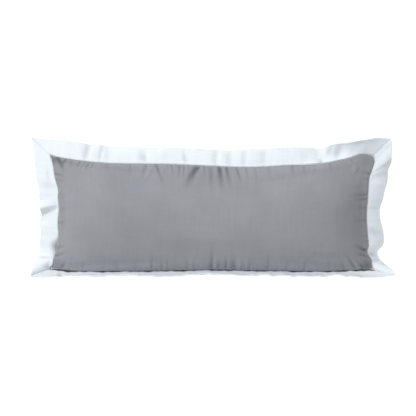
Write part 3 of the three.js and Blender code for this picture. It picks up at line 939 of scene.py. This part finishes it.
for side, (place, out, mitre, up) in places.items():
    border = borders[side]
    facing = (normals_of(border) * up).sum(axis=1)
    shares = strip_painted_shade(side, place, out, mitre) * smooth(0.5 + FACING * facing)
    mark(border, "gathered", np.full(len(shares), GATHERED_STRIP))
    # the attribute "crease" holds the painted shade
    mark(border, "crease", shares)
    print(side, "strip:", int((shares > 0.1).sum()), "points in creases")

# %% [markdown]
# The cushion and a strip must not pass through each other. From inside the cushion a ray
# looks outwards at the height of each point near the seam. Where it meets a strip first, the
# point is pulled back in front of it.

# %% Keep the cushion clear of the strips
ROOM = 0.8 * MM  # between the cushion and a strip
NEAR_SEAM = 45 * MM  # cloth further in than this can't reach a strip
CORE = (360 * MM, 100 * MM)  # half the size of the middle that the rays start from


def keep_clear(piece, strips):
    points = coordinates(piece)
    feet, distance = nearest_on_seam(points, 2)
    graph = bpy.context.evaluated_depsgraph_get()
    trees = [BVHTree.FromObject(strip, graph) for strip in strips]
    middle, limit = np.array(seam_centre)[:2], np.array(CORE)
    pulled = 0
    near_strips = (distance < NEAR_SEAM) & (points[:, 2] > feet[:, 2] + RIM)
    for index in np.nonzero(near_strips)[0]:
        inside = points[index].copy()
        inside[:2] = middle + np.clip(inside[:2] - middle, -limit, limit)
        ray = Vector(points[index] - inside)
        length = ray.length
        ray.normalize()
        hits = [tree.ray_cast(Vector(inside), ray, length + ROOM)[3] for tree in trees]
        reach = min([h for h in hits if h is not None], default=None)
        if reach is not None:
            points[index] = np.array(Vector(inside) + ray * (reach - ROOM))
            pulled += 1
    move_to(piece, points)
    return pulled


print("points pulled back:", keep_clear(cushion, list(borders.values())))

# %% [markdown]
# ## Cloth finishes
# Both cloths are a plain weave: warp and weft pass over and under each other, so the surface
# is a fine checkerboard of small bumps. Uneven threads show as faint streaks both ways. That
# is one node group with its own values in each material. It reads the UV map, in metres, so
# that the threads follow the cloth round the sides. A picture of real cloth would do as well,
# but nodes never repeat and stay sharp at any size. First come a few helpers that add a node
# and give back its output.

# %% Helpers for nodes
def new_group(name, inputs, outputs):
    group = bpy.data.node_groups.new(name, "ShaderNodeTree")
    for label, kind, value in inputs:
        socket = group.interface.new_socket(label, in_out="INPUT", socket_type=kind)
        socket.default_value = value
    for label, kind in outputs:
        group.interface.new_socket(label, in_out="OUTPUT", socket_type=kind)
    return group, group.nodes.new("NodeGroupInput"), group.nodes.new("NodeGroupOutput")


def maths(tree, operation, a, b=None):
    node = tree.nodes.new("ShaderNodeMath")
    node.operation = operation
    for socket, value in zip(node.inputs, (a, b)):
        if value is None:
            continue
        if isinstance(value, (int, float)):
            socket.default_value = value
        else:
            tree.links.new(value, socket)
    return node.outputs[0]


def noise(tree, vector, scale, detail=2.0, roughness=0.5):
    node = tree.nodes.new("ShaderNodeTexNoise")
    node.inputs["Scale"].default_value = scale
    node.inputs["Detail"].default_value = detail
    node.inputs["Roughness"].default_value = roughness
    tree.links.new(vector, node.inputs["Vector"])
    return node.outputs["Fac"]


def stretched(tree, vector, scale):
    node = tree.nodes.new("ShaderNodeMapping")
    node.inputs["Scale"].default_value = scale
    tree.links.new(vector, node.inputs["Vector"])
    return node.outputs["Vector"]


def mixed(tree, first, second, share):
    """Two values added up, of which the second has this share."""
    return maths(
        tree, "ADD", maths(tree, "MULTIPLY", first, 1 - share),
        maths(tree, "MULTIPLY", second, share),
    )


# %% A node group for plain weave
THREAD_PITCH = 0.8 * MM
WARP_STREAKS = (420, 10, 1)  # scale of the noise: fine across the threads, drawn out along them
WEFT_STREAKS = (12, 900, 1)
WEFT_SHARE = 0.4  # of the streaks, and the rest is warp
CHECK_HEIGHT = 0.5  # of the small bumps where the threads cross
THREAD_HEIGHT = 0.6  # of the threads that are thicker than their neighbours


def plain_weave():
    tree, inside, outside = new_group(
        "plain_weave",
        [("UV", "NodeSocketVector", (0, 0, 0)), ("Thread Pitch", "NodeSocketFloat", THREAD_PITCH)],
        [("Height", "NodeSocketFloat"), ("Streaks", "NodeSocketFloat")],
    )
    uv = inside.outputs["UV"]
    parts = tree.nodes.new("ShaderNodeSeparateXYZ")
    tree.links.new(uv, parts.inputs[0])
    turns = maths(tree, "DIVIDE", math.pi, inside.outputs["Thread Pitch"])
    across = maths(tree, "SINE", maths(tree, "MULTIPLY", parts.outputs["X"], turns))
    along = maths(tree, "SINE", maths(tree, "MULTIPLY", parts.outputs["Y"], turns))
    over_under = maths(tree, "MULTIPLY", across, along)
    warp = noise(tree, stretched(tree, uv, WARP_STREAKS), 1.0)
    weft = noise(tree, stretched(tree, uv, WEFT_STREAKS), 1.0)
    streaks = mixed(tree, warp, weft, WEFT_SHARE)
    checks = maths(tree, "MULTIPLY", over_under, CHECK_HEIGHT)
    threads = maths(tree, "MULTIPLY", streaks, THREAD_HEIGHT)
    height = maths(tree, "ADD", checks, threads)
    tree.links.new(height, outside.inputs["Height"])
    tree.links.new(streaks, outside.inputs["Streaks"])
    return tree


WEAVE = plain_weave()
print("weave group:", len(WEAVE.nodes), "nodes")

# %% [markdown]
# Between the puckers the seam gathers the cloth into many fine ones, too fine for the points
# of the mesh. A second node group makes them as a bump. It is noise that is drawn out into
# lines at right angles to the nearest edge, and it fades on its way in. Broad waves reach
# further in than the fine lines. The input "Amount" comes from the attribute "gathered", so
# that they are strong only where the photograph shows them. The output "Shade" is painted
# shade in their troughs.

# %% A node group for the gathers along an edge
GATHER_LINES = (
    # lines per metre across them and along them, height, how far they reach in
    (150, 9, 2.0 * MM, 22 * MM),
    (46, 6, 5.6 * MM, 58 * MM),
)
GATHER_SHADE = 130  # painted shade in the troughs, for each metre of their depth


def centred(tree, value):
    return maths(tree, "SUBTRACT", value, 0.5)


def fade_from_edges(tree, coordinate, size, reach):
    """1 at both edges of the cloth, and fading on the way in."""
    other = maths(tree, "SUBTRACT", size, coordinate)
    nearest = maths(tree, "MINIMUM", coordinate, other)
    return maths(tree, "EXPONENT", maths(tree, "DIVIDE", nearest, -reach))


def gathers():
    tree, inside, outside = new_group(
        "gathers",
        [
            ("UV", "NodeSocketVector", (0, 0, 0)), ("Length", "NodeSocketFloat", 1.0),
            ("Width", "NodeSocketFloat", 1.0), ("Amount", "NodeSocketFloat", 1.0),
        ],
        [("Height", "NodeSocketFloat"), ("Shade", "NodeSocketFloat")],
    )
    uv = inside.outputs["UV"]
    parts = tree.nodes.new("ShaderNodeSeparateXYZ")
    tree.links.new(uv, parts.inputs[0])
    total = None
    for fine, drawn_out, height, reach in GATHER_LINES:
        upright = centred(tree, noise(tree, stretched(tree, uv, (fine, drawn_out, 1)), 1.0))
        level = centred(tree, noise(tree, stretched(tree, uv, (drawn_out, fine, 1)), 1.0))
        at_long = fade_from_edges(tree, parts.outputs["Y"], inside.outputs["Width"], reach)
        at_short = fade_from_edges(tree, parts.outputs["X"], inside.outputs["Length"], reach)
        lines = maths(
            tree, "ADD", maths(tree, "MULTIPLY", upright, at_long),
            maths(tree, "MULTIPLY", level, at_short),
        )
        lines = maths(tree, "MULTIPLY", lines, height)
        total = lines if total is None else maths(tree, "ADD", total, lines)
    total = maths(tree, "MULTIPLY", total, inside.outputs["Amount"])
    # painted shade in the troughs of the gathers
    shade = maths(tree, "MAXIMUM", maths(tree, "MULTIPLY", total, -GATHER_SHADE), 0.0)
    tree.links.new(total, outside.inputs["Height"])
    tree.links.new(shade, outside.inputs["Shade"])
    return tree


GATHERS = gathers()
print("gathers group:", len(GATHERS.nodes), "nodes")

# %% [markdown]
# A cloth material mixes a darker and a lighter shade of its own colour by the streaks and by
# broad cloudy patches, as handled cotton has. It does so twice, for a cooler and a warmer tone
# of the same cotton, and broad patches lead from one to the other. Then painted shade darkens
# it towards a near-black colour, by the crease attribute and in the troughs of the gathers. The
# gathers and the weave's height are bumps, one on top of the other. The numbers that are the
# same all over sit on the shader's own sockets.

# %% A material for cotton
CLOUD_SCALE = 14.0  # patches per metre
CLOUD_SHARE = 0.45  # of the mix of the darker and the lighter shade, and the rest is streaks
TONE_PATCHES = (5, 7, 1)  # per metre along and across the cloth
TONE_CONTRAST = 1.6
WEAVE_HEIGHT = 0.25 * MM
COTTON_FINISH = {"Roughness": 0.92, "Specular IOR Level": 0.25, "Sheen Roughness": 0.6}


def mixed_colours(tree, factor, first, second):
    """Two colours mixed by a factor. A colour is three numbers or the output of a node."""
    node = tree.nodes.new("ShaderNodeMix")
    node.data_type = "RGBA"
    node.clamp_factor = True
    tree.links.new(factor, node.inputs[0])
    for socket, colour in zip((node.inputs[6], node.inputs[7]), (first, second)):
        if isinstance(colour, tuple):
            socket.default_value = (*colour, 1)
        else:
            tree.links.new(colour, socket)
    return node.outputs[2]


def marked(tree, name):
    node = tree.nodes.new("ShaderNodeAttribute")
    node.attribute_name = name
    return node.outputs["Fac"]


def cotton(name, cool, warm, painted_shade_colour, pitch, bump, sheen, size):
    """Cotton of two tones, each a darker and a lighter shade that are mixed by the threads."""
    material = bpy.data.materials.new(name)
    material.use_nodes = True
    tree = material.node_tree
    shader = tree.nodes["Principled BSDF"]
    uv = tree.nodes.new("ShaderNodeUVMap").outputs["UV"]
    weave = tree.nodes.new("ShaderNodeGroup")
    weave.node_tree = WEAVE
    weave.inputs["Thread Pitch"].default_value = pitch
    tree.links.new(uv, weave.inputs["UV"])
    clouds = noise(tree, uv, CLOUD_SCALE, detail=3.0, roughness=0.55)
    shade = mixed(tree, weave.outputs["Streaks"], clouds, CLOUD_SHARE)
    tone = centred(tree, noise(tree, stretched(tree, uv, TONE_PATCHES), 1.0))
    tone = maths(tree, "ADD", maths(tree, "MULTIPLY", tone, TONE_CONTRAST), 0.5)
    tones = [mixed_colours(tree, shade, *pair) for pair in (cool, warm)]
    gather = tree.nodes.new("ShaderNodeGroup")
    gather.node_tree = GATHERS
    tree.links.new(uv, gather.inputs["UV"])
    for socket, value in zip(("Length", "Width"), size):
        gather.inputs[socket].default_value = value
    tree.links.new(marked(tree, "gathered"), gather.inputs["Amount"])
    # painted shade: the crease attribute and the gathers' troughs mix in the near-black colour
    painted_shade = maths(tree, "ADD", marked(tree, "crease"), gather.outputs["Shade"])
    colour = mixed_colours(tree, painted_shade, mixed_colours(tree, tone, *tones), painted_shade_colour)
    tree.links.new(colour, shader.inputs["Base Color"])
    waves = tree.nodes.new("ShaderNodeBump")
    waves.inputs["Distance"].default_value = 1.0
    tree.links.new(gather.outputs["Height"], waves.inputs["Height"])
    relief = tree.nodes.new("ShaderNodeBump")
    tree.links.new(waves.outputs["Normal"], relief.inputs["Normal"])
    relief.inputs["Strength"].default_value = bump
    relief.inputs["Distance"].default_value = WEAVE_HEIGHT
    tree.links.new(weave.outputs["Height"], relief.inputs["Height"])
    tree.links.new(relief.outputs["Normal"], shader.inputs["Normal"])
    shader.inputs["Sheen Weight"].default_value = sheen
    for socket, value in COTTON_FINISH.items():
        shader.inputs[socket].default_value = value
    return material


# %% [markdown]
# The grey of the panels is a little blue, and so is the white. Neither is anywhere near black
# or pure white, because a studio's light has to have room above them. The white cotton is
# woven a little finer.

# %% The grey and the white cotton
STRIP_UV_START = 1.0  # where the middle of a strip lies on its UV map, in metres

grey_cotton = cotton(
    "grey_cotton",
    cool=((0.212, 0.220, 0.240), (0.350, 0.362, 0.392)),
    warm=((0.216, 0.218, 0.231), (0.356, 0.357, 0.376)),
    # near black: the colour that painted shade mixes in
    painted_shade_colour=(0.03, 0.03, 0.034),
    pitch=0.9 * MM, bump=0.5, sheen=0.08, size=PANEL_CUT,
)
white_cotton = cotton(
    "white_cotton",
    cool=((0.675, 0.73, 0.76), (0.775, 0.835, 0.865)),
    warm=((0.68, 0.72, 0.765), (0.78, 0.82, 0.87)),
    # near black: the colour that painted shade mixes in
    painted_shade_colour=(0.04, 0.042, 0.046),
    pitch=0.7 * MM, bump=0.35, sheen=0.04, size=(2 * STRIP_UV_START, FLANGE_WIDTH),
)
print("materials:", grey_cotton.name, "and", white_cotton.name)

# %% [markdown]
# The panels were cut flat, so they brought their UV map along. The strips are copies of
# solids, which have none. Theirs is measured on the piece: how far along its side a point is,
# and how far out from the seam. So the threads run along each strip, as they were cut.

# %% Give the pieces their cloth
def lay_uv_on_strip(piece, side):
    """A UV map in metres: along the side, and out from the seam."""
    points = coordinates(piece)
    _feet, out = nearest_on_seam(points)
    layer = piece.data.uv_layers.active or piece.data.uv_layers.new(name="cloth")
    for loop, corner in zip(piece.data.loops, layer.data):
        along = points[loop.vertex_index, AXIS_OF[side]] + STRIP_UV_START
        corner.uv = (along, out[loop.vertex_index])


cushion.data.materials.clear()
cushion.data.materials.append(grey_cotton)
for side, border in borders.items():
    lay_uv_on_strip(border, side)
    border.data.materials.append(white_cotton)
print("cloth:", {piece.name: piece.data.materials[0].name for piece in (cushion, *borders.values())})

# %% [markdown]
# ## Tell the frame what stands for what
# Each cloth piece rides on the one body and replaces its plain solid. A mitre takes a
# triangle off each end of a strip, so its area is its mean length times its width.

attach(cushion, "root")
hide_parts("filled_cushion")
for side, border in borders.items():
    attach(border, "root")
    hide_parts("flange_" + side)
print("pieces declared:", 1 + len(borders))

# %% [markdown]
# ## Studio
# The photograph has a white ground without shadows, and soft light that comes mostly from the
# upper left. The floor is a plain white plane that glows a little, so that it stays white
# close to the pillow as well.

# %% Floor
FLOOR_SIZE = 12
FLOOR_DROP = 0.5 * MM  # it lies this far under the pillow, so that the two don't flicker
FLOOR_GREY = (0.35, 0.35, 0.35, 1)
FLOOR_GLOW = 0.82


def plain_floor():
    bpy.ops.mesh.primitive_plane_add(size=FLOOR_SIZE, location=(0, 0, -FLOOR_DROP))
    floor = bpy.context.object
    floor.name = "floor"
    material = bpy.data.materials.new("floor_white")
    material.use_nodes = True
    shader = material.node_tree.nodes["Principled BSDF"]
    shader.inputs["Base Color"].default_value = FLOOR_GREY
    shader.inputs["Roughness"].default_value = 1.0
    shader.inputs["Specular IOR Level"].default_value = 0.0
    shader.inputs["Emission Color"].default_value = (1, 1, 1, 1)
    shader.inputs["Emission Strength"].default_value = FLOOR_GLOW
    floor.data.materials.append(material)
    print("floor:", [round(d, 2) for d in floor.dimensions], "m")


plain_floor()

# %% [markdown]
# A large area light to the upper left models the swells and the puckers. A weaker one behind
# the upper edge lights the lower strip, which stands up and faces that way, and another to the
# lower right keeps the shadows open. The world gives the rest, a little bluer than the lights.

# %% Lights
LIGHTS = (
    # name, place, size (m), power (W)
    ("key", (-3.8, 2.0, 4.4), 2.4, 214),
    ("back_light", (0.4, 4.2, 2.6), 2.2, 40),
    ("fill", (3.2, -2.4, 1.2), 2.2, 24),
)
WORLD_COLOUR = (0.97, 0.985, 1, 1)
WORLD_STRENGTH = 0.6


def soft_light(name, place, size, power):
    data = bpy.data.lights.new(name, "AREA")
    data.size = size
    data.energy = power
    light = bpy.data.objects.new(name, data)
    light.location = place
    light.rotation_euler = (seam_centre - Vector(place)).to_track_quat("-Z", "Y").to_euler()
    bpy.context.collection.objects.link(light)


for name, place, size, power in LIGHTS:
    soft_light(name, place, size, power)
world = bpy.data.worlds.new("studio")
world.use_nodes = True
background = world.node_tree.nodes["Background"]
background.inputs["Color"].default_value = WORLD_COLOUR
background.inputs["Strength"].default_value = WORLD_STRENGTH
bpy.context.scene.world = world
bpy.context.scene.view_settings.view_transform = "Standard"
